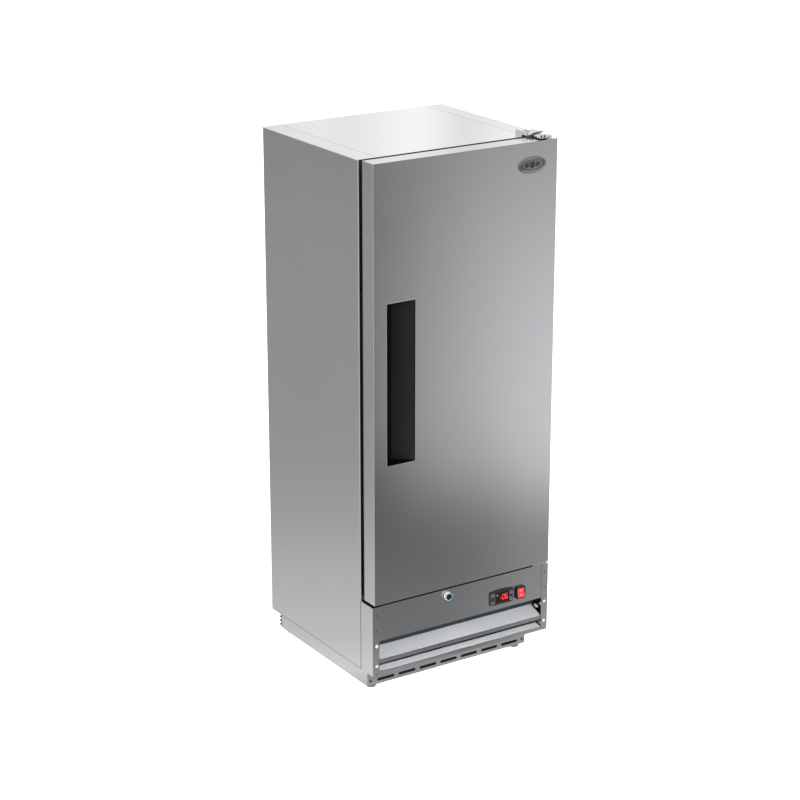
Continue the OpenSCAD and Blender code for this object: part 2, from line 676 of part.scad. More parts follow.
// Wire shelf: two long rails on each side, cross bars, and wires from front to back
module wire_shelf(z) color([0.86, 0.87, 0.88]) {
    r = 3.2;
    for (y = [shelf_y[0], (shelf_y[0] + shelf_y[1]) / 2, shelf_y[1]]) bar_x(y, z + r, [-shelf_x, shelf_x], r);
    for (x = [-shelf_x + 6, shelf_x - 6]) bar_y(x, z + r + 0.2, [shelf_y[0] - r, shelf_y[1] + r], r);
    for (i = [-9 : 9]) bar_y(i * 25, z + 2 * r + 0.9, [shelf_y[0] - r, shelf_y[1] + r], 1.6);
}

module lower_shelf() wire_shelf(shelf_z[0] + 0.1);
module middle_shelf() wire_shelf(shelf_z[1] + 0.1);
module upper_shelf() wire_shelf(shelf_z[2] + 0.1);

// ---------- door ----------

// The door's block between two depths, its long edges on the face side rounded
module door_block(inset, y) post([-door_x + inset, door_x - inset], y,
    [door_z0 + inset, cab_top - inset], door_edge_r - inset);

// Opening of the recess through the skin
module pull_opening(y) block([pull_x0, pull_x1], y, [pull_z0, pull_z1]);

module bushing_holes(r) {
    bar_z(hinge_x, hinge_y, [door_z0 - 1, door_z0 + bush_len], r);
    bar_z(hinge_x, hinge_y, [cab_top - bush_len, cab_top + 1], r);
}

module door_skin() color([0.62, 0.63, 0.64]) difference() {
    intersection() {
        door_block(0, [door_y0, door_y1]);
        block([-door_x, door_x], [door_y0, door_seam - seam / 2], [door_z0, cab_top]);
    }
    door_block(sheet, [door_y0 + sheet, door_y1]);
    pull_opening([door_y0 - 1, door_y0 + 3]);
    bushing_holes(bush_r + pin_gap);
    strike_slot();
}

module door_liner() color([0.88, 0.89, 0.90]) difference() {
    block([-door_x, door_x], [door_seam + seam / 2, door_y1], [door_z0, cab_top]);
    block([-door_x + sheet, door_x - sheet], [door_seam, door_y1 - sheet],
        [door_z0 + sheet, cab_top - sheet]);
}

module door_foam() color([0.93, 0.88, 0.62]) difference() {
    block([-door_x + sheet + 0.1, door_x - sheet - 0.1], [door_y0 + sheet + 1.9, door_y1 - sheet],
        [door_z0 + sheet, cab_top - sheet]);
    pull_body();
    bushing_holes(bush_r + pin_gap);
    block([lock_x - 45, lock_x + 18], [cam_y - 5, cam_y + 8], [door_z0, door_z0 + 20]);
}

// Slot for the lock's cam in the door's lower edge
module strike_slot() block([lock_x - 30, lock_x + 9], [cam_y - 1.5, cam_y + 4.5],
    [door_z0 - 5, door_z0 + 5]);

module lock_strike() color([0.66, 0.67, 0.68]) difference() {
    block([lock_x - 40, lock_x + 16], [cam_y - 5, cam_y + 8], [door_z0 - 1.4, door_z0]);
    strike_slot();
}

// Magnetic gasket: a foot on the door, a narrow bellows and the magnet's strip
module door_gasket() color([0.06, 0.06, 0.07]) {
    gx = 286;
    gz = [door_z0 + 12, in_z1 + 28];
    gasket_ring(gx, gz, 24, [door_y1, door_y1 + 4]);
    gasket_ring(gx - 6, [gz[0] + 6, gz[1] - 6], 11, [door_y1 + 4, door_y1 + 9]);
    gasket_ring(gx - 2, [gz[0] + 2, gz[1] - 2], 19, [door_y1 + 9, yf - 0.3]);
}

module gasket_ring(x, z, w, y) difference() {
    block([-x, x], y, z);
    block([-x + w, x - w], [y[0] - 1, y[1] + 1], [z[0] + w, z[1] - w]);
}

// Section of the recess, from the left lip round the finger pocket to the slanted right wall
module pull_section(t) {
    d = pull_depth;
    polygon([[pull_x0 + 2 - t, 0], [pull_x0 + 2 - t, 9 - t * 0.6], [pull_x0 - 12 - t, 17 - t * 0.6],
        [pull_x0 - 12 - t, d - 8 + t * 0.4], [pull_x0 - 4 - t * 0.4, d + t],
        [pull_x1 - 51 + t * 0.4, d + t], [pull_x1 - 2 + t * 1.1, 0]]);
}

// Outer body of the recess's moulding
module pull_body() {
    translate([0, door_y0 + sheet, pull_z0])
        linear_extrude(pull_z1 - pull_z0) pull_section(2);
    block([pull_x0 - 14, pull_x1 + 14], [door_y0 + sheet, door_y0 + sheet + 1.9], [pull_z0 - 14, pull_z1 + 14]);
}

module handle_recess() color([0.08, 0.08, 0.085]) difference() {
    pull_body();
    translate([0, door_y0 + sheet - 0.01, pull_z0 + 2]) linear_extrude(pull_z1 - pull_z0 - 4) pull_section(0);
}

// Plain domed oval
// Oval plate with a raised middle, near the door's upper right corner
module badge() color([0.40, 0.41, 0.42]) {
    translate([222, door_y0, 1542]) rotate([90, 0, 0]) {
        linear_extrude(1.6) resize([98, 50.5]) circle(25, $fn = 64);
        translate([0, 0, 1.6]) linear_extrude(1.2) resize([91, 43.5]) circle(22, $fn = 64);
    }
}

module door_bushings() color([0.85, 0.85, 0.82]) difference() {
    union() {
        bushing_holes_solid();
        // thrust collar that carries the door on the lower bracket
        bar_z(hinge_x, hinge_y, [bracket_top + 0.1, door_z0], bush_r + 1);
    }
    bar_z(hinge_x, hinge_y, [bracket_top - 1, door_z0 + bush_len - 1], hinge_r + pin_gap);
    bar_z(hinge_x, hinge_y, [cab_top - bush_len + 1, cab_top + 2], hinge_r + pin_gap);
}

module bushing_holes_solid() {
    bar_z(hinge_x, hinge_y, [door_z0, door_z0 + bush_len], bush_r);
    bar_z(hinge_x, hinge_y, [cab_top - bush_len, cab_top], bush_r);
}

// ---------- hinges ----------

bracket_top = front_top + 3.5;

rib_x = 246;                        // left face of the bracket's rib
rib_t = 2;
rib_z = cab_top + 13;

module top_hinge_bracket() color([0.72, 0.73, 0.74]) {
    // foot on the roof
    block([rib_x, 311], [yf + 14, yf + 45], [cab_top, arm_z]);
    // plate over the foot, and the arm that narrows round the pin
    translate([0, yf, arm_z]) linear_extrude(arm_t) {
        polygon([[rib_x, 45], [311, 45], [311, 2], [277, 2], [275, -4], [304, -33], [hinge_x, -hinge_out - 17],
            [256, -hinge_out - 24], [256, -19], [rib_x, -12]]);
        translate([hinge_x, -hinge_out]) circle(17);
    }
    // rib along the left edge
    block([rib_x, rib_x + rib_t], [yf + 14, yf + 45], [cab_top, rib_z]);
    block([rib_x, rib_x + rib_t], [yf - 12, yf + 14], [arm_z, rib_z]);
    // pin into the door's upper bushing, riveted over on the arm
    bar_z(hinge_x, hinge_y, [cab_top - bush_len + 3, arm_z + arm_t + 1.2], hinge_r);
    // two stop screws at the arm's front corner
    for (p = stop_at) bar_z(p[0], yf + p[1], [arm_z, rib_z], 1.9);
}

stop_at = [[260, -61], [269, -63]];

module bottom_hinge_bracket() color([0.72, 0.73, 0.74]) {
    block([262, 312], [hinge_y - 17, yf], [front_top, bracket_top]);
    block([262, 312], [yf - 3, yf], [front_top, door_z0 + 11]);
    bar_z(hinge_x, hinge_y, [bracket_top, door_z0 + bush_len - 3], hinge_r);
}

module hinge_screws() color([0.82, 0.83, 0.84]) {
    for (p = [[258, 34], [276, 24], [276, 38]]) {
        bar_z(p[0], yf + p[1], [cab_top - 8, arm_z + arm_t], 2.5);
        translate([p[0], yf + p[1], arm_z + arm_t]) cylinder(h = 3.4, r = 5, $fn = 6);
    }
    for (x = [270, 304]) bar_y(x, front_top + 11, [yf - 4.6, yf - 3], 4);
    for (x = [270, 304]) bar_y(x, front_top + 11, [yf - 3, yf + 8], 2);
}

left_side_panel();
right_side_panel();
top_panel();
back_panel();
front_frame();
inner_liner();
foam_insulation();
base_tray();
rear_cover();
base_frame();
kick_plate();
base_rear_grille();
foot_front_left();
foot_front_right();
foot_rear_left();
foot_rear_right();
grille_frame();
control_panel();
upper_louvre();
lower_louvre();
panel_fasteners();
controller_housing();
display_window();
button_upper_left();
button_lower_left();
button_upper_right();
button_lower_right();
switch_housing();
switch_rocker();
lock_barrel();
lock_plug();
compressor();
condenser_coil();
fan_shroud();
condenser_motor();
condenser_fan();
filter_drier();
refrigerant_tubes();
drain_pan();
cord_gland();
evaporator_coil();
evaporator_motor();
evaporator_fan();
evaporator_cover();
shelf_pilasters();
shelf_clips();
lower_shelf();
middle_shelf();
upper_shelf();
door_skin();
door_liner();
door_foam();
door_gasket();
handle_recess();
badge();
door_bushings();
lock_strike();
top_hinge_bracket();
bottom_hinge_bracket();
hinge_screws();
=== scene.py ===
"""Reach-in refrigerator: finishes, detail pieces, light and camera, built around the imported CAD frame."""
import json
import math

import bmesh
import bpy
from mathutils import Matrix, Vector


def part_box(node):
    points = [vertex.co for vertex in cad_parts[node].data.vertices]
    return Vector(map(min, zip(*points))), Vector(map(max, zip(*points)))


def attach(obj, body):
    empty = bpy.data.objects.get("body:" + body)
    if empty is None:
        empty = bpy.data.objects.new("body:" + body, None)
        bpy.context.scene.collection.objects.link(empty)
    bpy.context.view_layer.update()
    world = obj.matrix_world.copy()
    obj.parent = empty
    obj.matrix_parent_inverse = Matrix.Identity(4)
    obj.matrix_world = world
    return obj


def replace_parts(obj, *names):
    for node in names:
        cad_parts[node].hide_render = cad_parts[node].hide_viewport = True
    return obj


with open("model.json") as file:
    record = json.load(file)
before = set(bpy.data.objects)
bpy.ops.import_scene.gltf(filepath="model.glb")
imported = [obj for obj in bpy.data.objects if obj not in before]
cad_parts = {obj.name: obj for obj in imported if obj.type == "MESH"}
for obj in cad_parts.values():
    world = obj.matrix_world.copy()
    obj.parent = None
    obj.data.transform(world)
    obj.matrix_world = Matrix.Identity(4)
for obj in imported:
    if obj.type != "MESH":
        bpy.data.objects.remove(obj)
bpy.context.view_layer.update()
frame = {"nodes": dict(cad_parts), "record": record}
NODES = frame["nodes"]
SLOT_OF = {row["node"]: row["material_slot"] for row in frame["record"]["subparts"]}
scene = bpy.context.scene

# ---------- camera ----------

cam_data = bpy.data.cameras.new("camera")
cam_data.lens = 102.0
cam_data.sensor_width = 36.0
cam_data.clip_start, cam_data.clip_end = 0.05, 200.0
cam = bpy.data.objects.new("camera", cam_data)
cam.location = (-3.5206, -5.3833, 2.9663)
cam.rotation_euler = (math.radians(71.343), 0.0, math.radians(-32.943))
scene.collection.objects.link(cam)
scene.camera = cam

# ---------- node helpers ----------


class Tree:
    """A node tree with short calls that add nodes and join them."""

    def __init__(self, tree):
        self.t = tree
        tree.nodes.clear()

    def add(self, kind, **props):
        n = self.t.nodes.new(kind)
        for key, value in props.items():
            setattr(n, key, value)
        return n

    def put(self, socket, value):
        if isinstance(value, bpy.types.NodeSocket):
            self.t.links.new(value, socket)
        else:
            socket.default_value = value

    def math(self, operation, a, b=0.0):
        n = self.add("ShaderNodeMath", operation=operation)
        self.put(n.inputs[0], a)
        self.put(n.inputs[1], b)
        return n.outputs[0]

    def ramp(self, fac, stops):
        n = self.add("ShaderNodeValToRGB")
        n.color_ramp.interpolation = "LINEAR"
        elements = n.color_ramp.elements
        while len(elements) < len(stops):
            elements.new(0.5)
        for element, (at, colour) in zip(elements, stops):
            element.position = at
            element.color = (*colour, 1.0)
        self.put(n.inputs[0], fac)
        return n.outputs[0]

    def spread(self, fac, lo, hi, to_lo, to_hi):
        n = self.add("ShaderNodeMapRange")
        for i, v in enumerate((fac, lo, hi, to_lo, to_hi)):
            self.put(n.inputs[i], v)
        return n.outputs[0]

    def mix(self, fac, a, b, blend="MIX"):
        n = self.add("ShaderNodeMix", data_type="RGBA", blend_type=blend)
        self.put(n.inputs[0], fac)
        for socket, value in ((n.inputs[6], a), (n.inputs[7], b)):
            self.put(socket, (*value, 1.0) if isinstance(value, tuple) and len(value) == 3 else value)
        return n.outputs[2]

    def coords(self, scale=(1, 1, 1)):
        n = self.add("ShaderNodeMapping")
        n.inputs["Scale"].default_value = scale
        self.t.links.new(self.add("ShaderNodeTexCoord").outputs["Object"], n.inputs[0])
        return n.outputs[0]

    def noise(self, scale, vector=None, detail=3.0, rough=0.5):
        n = self.add("ShaderNodeTexNoise")
        n.inputs["Scale"].default_value = scale
        n.inputs["Detail"].default_value = detail
        n.inputs["Roughness"].default_value = rough
        self.put(n.inputs["Vector"], vector if vector is not None else self.coords())
        return n.outputs[0]

    def bump(self, height, strength, distance):
        n = self.add("ShaderNodeBump")
        n.inputs["Strength"].default_value = strength
        n.inputs["Distance"].default_value = distance
        self.put(n.inputs["Height"], height)
        return n.outputs[0]


def material(name):
    mat = bpy.data.materials.new(name)
    mat.use_nodes = True
    return mat, Tree(mat.node_tree)


def surface(mat, tree, colour, rough, normal=None, metal=0.0, **sockets):
    """Ends a material with a Principled shader."""
    p = tree.add("ShaderNodeBsdfPrincipled")
    tree.put(p.inputs["Base Color"], (*colour, 1.0) if isinstance(colour, tuple) else colour)
    tree.put(p.inputs["Roughness"], rough)
    p.inputs["Metallic"].default_value = metal
    for key, value in sockets.items():
        p.inputs[key.replace("_", " ")].default_value = value
    if normal is not None:
        tree.put(p.inputs["Normal"], normal)
    out = tree.add("ShaderNodeOutputMaterial")
    tree.t.links.new(p.outputs[0], out.inputs[0])
    return mat


def principled(mat):
    """A material's Principled shader."""
    return next(n for n in mat.node_tree.nodes if n.bl_idname == "ShaderNodeBsdfPrincipled")


# ---------- materials ----------

GRAIN = {"x": (14, 900, 900), "y": (900, 14, 900), "z": (900, 900, 14)}
COOL = (0.986, 1.0, 1.028)      # stainless steel's faint blue cast
UNEVEN = 0.006                  # how far streaks and clouds each move the steel's tone
PLASTIC_GRAIN = 900.0


def grey(v):
    return (v, v, v)


def tinted(v):
    """Grey with stainless steel's faint cast."""
    return tuple(v * c for c in COOL)


def steel(name, tone, rough, grain, tint=COOL, painted_top_grey=None, top=None):
    """Satin stainless sheet: fine streaks along the grain, faint cloudiness, a little uneven gloss.

    top: tone of the faces that look upwards, where it differs; a painted highlight that lightens upward
    faces.
    satin: grey of a light, matt surface that those faces take in place of bare steel; painted light that
    makes them read bright."""
    mat, t = material(name)
    streak = t.noise(1.0, t.coords(GRAIN[grain]), detail=4.0, rough=0.62)
    cloud = t.noise(3.2, detail=2.0)
    shade = t.math("ADD", t.spread(streak, 0.3, 0.7, -UNEVEN, UNEVEN),
                   t.spread(cloud, 0.3, 0.7, -UNEVEN, UNEVEN))
    up = t.add("ShaderNodeSeparateXYZ")
    t.put(up.inputs[0], t.add("ShaderNodeTexCoord").outputs["Normal"])
    # painted light: faces that look up take the lighter top tone and lose the cool tint
    level = t.math("ADD", shade, t.spread(up.outputs[2], 0.8, 0.95, tone, top or tone))
    hue = t.mix(t.spread(up.outputs[2], 0.8, 0.95, 0.0, 1.0), tuple(tint), grey(1.0))
    colour = t.mix(1.0, level, hue, "MULTIPLY")
    gloss = t.math("ADD", t.spread(streak, 0.3, 0.7, rough - 0.012, rough + 0.012),
                   t.spread(cloud, 0.3, 0.7, -0.01, 0.012))
    normal = t.bump(streak, 0.02, 0.0002)
    if painted_top_grey is None:
        return surface(mat, t, colour, gloss, normal, metal=1.0)
    # painted light: faces that look up turn a light matt grey instead of metal
    facing = t.spread(up.outputs[2], 0.55, 0.85, 0.0, 1.0)
    colour = t.mix(facing, colour, t.mix(cloud, tinted(painted_top_grey * 0.97), tinted(painted_top_grey * 1.03)))
    surface(mat, t, colour, t.spread(facing, 0.0, 1.0, rough, 0.5), normal)
    t.put(principled(mat).inputs["Metallic"], t.math("SUBTRACT", 1.0, facing))
    return mat


def moulded(name, colour, rough, depth=0.12, **sockets):
    """Injection-moulded plastic with a fine eroded texture and a tone that drifts by 12%."""
    mat, t = material(name)
    fine = t.noise(PLASTIC_GRAIN)
    cloud = t.noise(9.0)
    c = t.mix(cloud, tuple(x * 0.88 for x in colour), tuple(x * 1.12 for x in colour))
    sockets.setdefault("Specular_IOR_Level", 0.3)
    return surface(mat, t, c, t.spread(cloud, 0.3, 0.7, rough - 0.04, rough + 0.04),
                   t.bump(fine, depth, 0.0003), **sockets)


def pull(name):
    """Black moulded pull: fine grain, with painted light: a shade lighter on the wall that looks to the
    left.
    """
    mat, t = material(name)
    facing = t.add("ShaderNodeSeparateXYZ")
    t.put(facing.inputs[0], t.add("ShaderNodeTexCoord").outputs["Normal"])
    fine = t.noise(PLASTIC_GRAIN)
    # painted light: faces that look left are lighter, the others darker
    level = t.math("ADD", t.spread(facing.outputs[0], -0.9, -0.5, 0.022, 0.0012),
                   t.spread(fine, 0.3, 0.7, 0, 0.001))
    return surface(mat, t, t.mix(level, grey(0.0), grey(1.0)), t.spread(fine, 0.3, 0.7, 0.62, 0.72),
                   t.bump(fine, 0.12, 0.0003), Specular_IOR_Level=0.10)


def lit(name, colour, strength):
    """Lit display element with a slightly uneven glow."""
    mat, t = material(name)
    c = t.mix(t.noise(700.0), tuple(x * 0.8 for x in colour), colour)
    surface(mat, t, c, 0.4)
    shader = principled(mat)
    t.put(shader.inputs["Emission Color"], c)
    shader.inputs["Emission Strength"].default_value = strength
    return mat


def plated(name, tone, rough, tint=(1.0, 1.0, 1.0), metal=1.0):
    """Bright plating: nearly smooth, with faint unevenness."""
    mat, t = material(name)
    cloud = t.noise(60.0)
    c = t.mix(cloud, tuple(x * tone * 0.94 for x in tint), tuple(x * tone for x in tint))
    return surface(mat, t, c, t.spread(cloud, 0.3, 0.7, rough * 0.8, rough * 1.25),
                   t.bump(t.noise(500.0), 0.04, 0.0003), metal=metal)


def galvanised(name):
    """Zinc-coated sheet with its crystal spangle."""
    mat, t = material(name)
    cell = t.add("ShaderNodeTexVoronoi", feature="F1")
    cell.inputs["Scale"].default_value = 90.0
    t.put(cell.inputs["Vector"], t.coords())
    zinc = t.spread(cell.outputs["Color"], 0.0, 1.0, 0.40, 0.56)
    return surface(mat, t, t.mix(1.0, zinc, (0.99, 1.0, 1.02), "MULTIPLY"),
                   t.spread(cell.outputs["Color"], 0.0, 1.0, 0.34, 0.5),
                   t.bump(cell.outputs["Distance"], 0.05, 0.0005), metal=1.0)


MATERIALS = {
    # painted light: the side sheets' and the door's upward faces take a lighter top tone
    "side_steel": steel("side_steel", 0.62, 0.22, "y", top=0.82),
    # painted light: the roof is a lighter copy of the same steel, for the light that falls on it
    "roof_steel": steel("roof_steel", 0.83, 0.14, "y", tint=(1.0, 1.0, 1.005)),
    "door_steel": steel("door_steel", 0.62, 0.18, "z", top=0.70),
    "front_steel": steel("front_steel", 0.60, 0.22, "x"),
    # painted light: the louvre blades' upward faces turn a light matt grey
    "louvre_steel": steel("louvre_steel", 0.49, 0.28, "x", painted_top_grey=0.135),
    "liner_steel": steel("liner_steel", 0.60, 0.30, "z"),
    "galvanised_steel": galvanised("galvanised_steel"),
    "bracket_steel": plated("bracket_steel", 0.66, 0.22, COOL),
    "screw_steel": plated("screw_steel", 0.80, 0.16),
    "wire_steel": plated("wire_steel", 0.78, 0.14),
    "grille_black": moulded("grille_black", (0.014, 0.014, 0.015), 0.5),
    "compressor_black": moulded("compressor_black", (0.010, 0.010, 0.011), 0.24, depth=0.03),
    "fan_metal": plated("fan_metal", 0.70, 0.32),
    "coil_metal": plated("coil_metal", 0.60, 0.38),
    "copper": plated("copper", 0.8, 0.28, (0.95, 0.56, 0.36)),
    "motor_black": moulded("motor_black", (0.03, 0.03, 0.032), 0.36),
    "foot_steel": plated("foot_steel", 0.45, 0.30),
    "pull_plastic": pull("pull_plastic"),
    "bezel_plastic": moulded("bezel_plastic", (0.008, 0.009, 0.010), 0.42, Specular_IOR_Level=0.25),
    "button_plastic": moulded("button_plastic", (0.035, 0.036, 0.038), 0.42),
    "window_plastic": moulded("window_plastic", (0.010, 0.005, 0.005), 0.2, depth=0.01,
                              Specular_IOR_Level=0.15),
    "rocker_plastic": moulded("rocker_plastic", (0.40, 0.028, 0.030), 0.18, depth=0.02,
                              Specular_IOR_Level=0.5),
    "lock_chrome": plated("lock_chrome", 0.82, 0.10, metal=0.6),
    "plug_metal": moulded("plug_metal", (0.001, 0.013, 0.024), 0.3, depth=0.02,
                          Specular_IOR_Level=0.15),
    "badge_metal": plated("badge_metal", 0.29, 0.25),
    "gasket_rubber": moulded("gasket_rubber", (0.006, 0.006, 0.007), 0.6, Specular_IOR_Level=0.15),
    "bush_plastic": moulded("bush_plastic", (0.68, 0.68, 0.64), 0.40),
    "foam": moulded("foam", (0.80, 0.70, 0.42), 0.75, depth=0.3),
    "pan_plastic": moulded("pan_plastic", (0.035, 0.035, 0.038), 0.42),
}
# painted light: lighter copies of the panel steel for the frame's cheeks and of the louvre steel for the
# lower blade and lip, offsetting the shade on them
LIT_FRAME_STEEL = steel("lit_frame_steel", 0.62, 0.22, "x")
LIT_LOWER_STEEL = steel("lit_lower_steel", 0.49, 0.28, "x", painted_top_grey=0.172)
PAN_STEEL = steel("pan_steel", 0.44, 0.36, "z")
# also painted shade: the dark rings under the larger screw heads and round the lock
DARK_STEEL = plated("dark_steel", 0.10, 0.35)
# painted shade: near-black steel for the hinge lever, standing for the shade on it
SHADED_ARM_STEEL = plated("shaded_arm_steel", 0.12, 0.30)
BRIGHT_ZINC = plated("bright_zinc", 0.62, 0.35, (1.0, 1.0, 0.99), metal=0.45)
RING_CHROME = plated("ring_chrome", 0.38, 0.10)
# painted shade: dark grey for the mats behind the louvres
SHADE_MAT_GREY = moulded("shade_mat_grey", (0.020, 0.025, 0.027), 0.7, Specular_IOR_Level=0.1)
# painted light: near-white, barely metallic zinc that keeps the louvre screws bright in the shade they sit
# in
LIT_EAR_ZINC = plated("lit_ear_zinc", 0.95, 0.40, metal=0.1)
# also painted shade: the kick plate's screen and slot liners, the black joint strips and the hinge pad
MARK_BLACK = moulded("mark_black", (0.004, 0.004, 0.004), 0.5, Specular_IOR_Level=0.1)
MARK_GREY = moulded("mark_grey", (0.11, 0.11, 0.114), 0.45, depth=0.02)
MARK_PINK = moulded("mark_pink", (0.80, 0.32, 0.32), 0.4, depth=0.02)
RED_LIGHT = lit("red_light", (0.80, 0.010, 0.022), 0.35)
GREEN_LIGHT = lit("green_light", (0.10, 0.62, 0.12), 0.5)
# nodes with a finish of their own in place of their slot's; for grille_frame and lower_louvre it is a
# lighter copy, painted light
OWN = {"grille_frame": LIT_FRAME_STEEL, "lower_louvre": LIT_LOWER_STEEL, "door_liner": PAN_STEEL}
for n, obj in NODES.items():
    obj.data.materials.clear()
    obj.data.materials.append(OWN.get(n, MATERIALS[SLOT_OF[n]]))

# ---------- soft edges on the CAD solids ----------


def round_edges(obj, width, angle):
    m = obj.modifiers.new("edges", "BEVEL")
    m.width, m.segments, m.limit_method = width, 2, "ANGLE"
    m.angle_limit = math.radians(angle)


SOFT = {0.0008: ("door_skin", "controller_housing", "handle_recess"),
        0.0006: ("left_side_panel", "right_side_panel", "top_panel", "switch_housing", "lock_barrel",
                 "switch_rocker", "door_liner"),
        0.0004: ("grille_frame", "control_panel", "kick_plate", "top_hinge_bracket",
                 "bottom_hinge_bracket", "lock_plug", "upper_louvre", "lower_louvre", "cord_gland",
                 "foot_front_left", "foot_front_right", "foot_rear_left", "foot_rear_right")}
for width, names in SOFT.items():
    for node in names:
        round_edges(NODES[node], width, 35)

# ---------- detail pieces ----------

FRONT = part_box("front_frame")[0].y          # the cabinet's front plane
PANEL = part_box("control_panel")[0].y        # the control panel's face
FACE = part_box("grille_frame")[0].y          # the grille frame's face
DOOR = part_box("door_skin")[0].y             # the door's face


def mm(*v):
    return tuple(a / 1000.0 for a in v)


def turned(degrees, axis):
    return Matrix.Rotation(math.radians(degrees), 4, axis)


TO_FRONT = turned(90, "X")          # local +Z looks to -Y
TO_BACK = turned(-90, "X")          # local +Z looks to +Y


def piece(name, bm, body, mat, smooth=True, bevel=0.0):
    """Makes an object of a bmesh in row coordinates and hangs it on a body."""
    bmesh.ops.recalc_face_normals(bm, faces=bm.faces)
    mesh = bpy.data.meshes.new(name)
    bm.to_mesh(mesh)
    bm.free()
    mesh.materials.append(mat)
    mesh.polygons.foreach_set("use_smooth", [smooth] * len(mesh.polygons))
    obj = bpy.data.objects.new(name, mesh)
    scene.collection.objects.link(obj)
    if bevel:
        round_edges(obj, bevel, 40)
    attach(obj, body)
    return obj


def relief(bm, at, radii, rings, spokes, height, place=TO_FRONT):
    """Closed disc or oval; height(share of radius, angle) gives its face over polar coordinates."""
    local = Matrix.Translation(at) @ place

    def vert(k, a, z):
        return bm.verts.new(local @ Vector((radii[0] * k * math.cos(a), radii[1] * k * math.sin(a), z)))

    angles = [2 * math.pi * j / spokes for j in range(spokes)]
    rows = [[vert(i / rings, a, height(i / rings, a)) for a in angles] for i in range(1, rings + 1)]
    middle = vert(0.0, 0.0, height(0.0, 0.0))
    foot = [vert(1.0, a, 0.0) for a in angles]
    for j in range(spokes):
        k = (j + 1) % spokes
        bm.faces.new((middle, rows[0][j], rows[0][k]))
        for inner, outer in zip(rows, rows[1:]):
            bm.faces.new((inner[j], outer[j], outer[k], inner[k]))
        bm.faces.new((rows[-1][j], foot[j], foot[k], rows[-1][k]))
    bm.faces.new(list(reversed(foot)))


def slab(bm, lo, hi):
    """Box between two corners."""
    m = Matrix.Translation([(a + b) / 2 for a, b in zip(lo, hi)])
    size = Matrix.Diagonal([b - a for a, b in zip(lo, hi)] + [1.0])
    bmesh.ops.create_cube(bm, size=1.0, matrix=m @ size)


def prism(bm, outline, place, depth):
    """Outline in local X, Y pushed out along local +Z."""
    low = [bm.verts.new(place @ Vector((x, y, 0))) for x, y in outline]
    top = [bm.verts.new(place @ Vector((x, y, depth))) for x, y in outline]
    bm.faces.new(list(reversed(low)))
    bm.faces.new(top)
    for i in range(len(outline)):
        j = (i + 1) % len(outline)
        bm.faces.new((low[i], low[j], top[j], top[i]))


def wire(bm, points, radius, closed=False, sides=10):
    """Round wire along points."""
    count = len(points)
    rings = []
    for i, p in enumerate(points):
        before = points[i - 1] if closed or i else p
        after = points[(i + 1) % count] if closed or i < count - 1 else p
        along = (Vector(after) - Vector(before)).normalized()
        side = along.cross(Vector((0.31, 0.53, 0.79))).normalized()
        up = along.cross(side)
        rings.append([bm.verts.new(Vector(p) + radius * (math.cos(a) * side + math.sin(a) * up))
                      for a in (2 * math.pi * k / sides for k in range(sides))])
    for i in range(count if closed else count - 1):
        a, b = rings[i], rings[(i + 1) % count]
        for k in range(sides):
            m = (k + 1) % sides
            bm.faces.new((a[k], a[m], b[m], b[k]))
    if not closed:
        bm.faces.new(list(reversed(rings[0])))
        bm.faces.new(rings[-1])


def oval(cx, cz, rx, rz, y, count=48):
    return [(cx + rx * math.cos(2 * math.pi * i / count), y, cz + rz * math.sin(2 * math.pi * i / count))
            for i in range(count)]


def round_box(w, h, r, steps=5):
    """Outline of a rectangle with round corners, centred on its middle."""
    pts = []
    for k, (sx, sy) in enumerate(((1, 1), (-1, 1), (-1, -1), (1, -1))):
        for i in range(steps + 1):
            a = math.pi / 2 * (k + i / steps)
            pts.append((sx * (w / 2 - r) + r * math.cos(a), sy * (h / 2 - r) + r * math.sin(a)))
    return pts


# ----- badge: domed oval with a raised rim, and a snowflake between short bars instead of a name -----

lo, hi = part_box("badge")
badge_at = ((lo.x + hi.x) / 2, hi.y, (lo.z + hi.z) / 2)
badge_r = ((hi.x - lo.x) / 2, (hi.z - lo.z) / 2)
badge_h = hi.y - lo.y


def badge_height(k, a):
    """Rounded rim, a flat groove inside it, and a low dome."""
    if k > 0.86:
        return badge_h * (0.35 + 0.45 * math.sqrt(max(0.0, 1 - ((k - 0.86) / 0.14) ** 2)))
    if k > 0.74:
        return badge_h * 0.42
    return badge_h * (0.55 + 0.3 * (1 - (k / 0.74) ** 2))


bm = bmesh.new()
relief(bm, badge_at, badge_r, 40, 96, badge_height)
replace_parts(piece("badge_body", bm, "door", MATERIALS["badge_metal"]), "badge")

bm = bmesh.new()
wire(bm, oval(badge_at[0], badge_at[2], badge_r[0] * 0.86, badge_r[1] * 0.66,
              badge_at[1] - badge_h * 0.55, 72), 0.0011, closed=True)
piece("badge_ring", bm, "door", RING_CHROME)

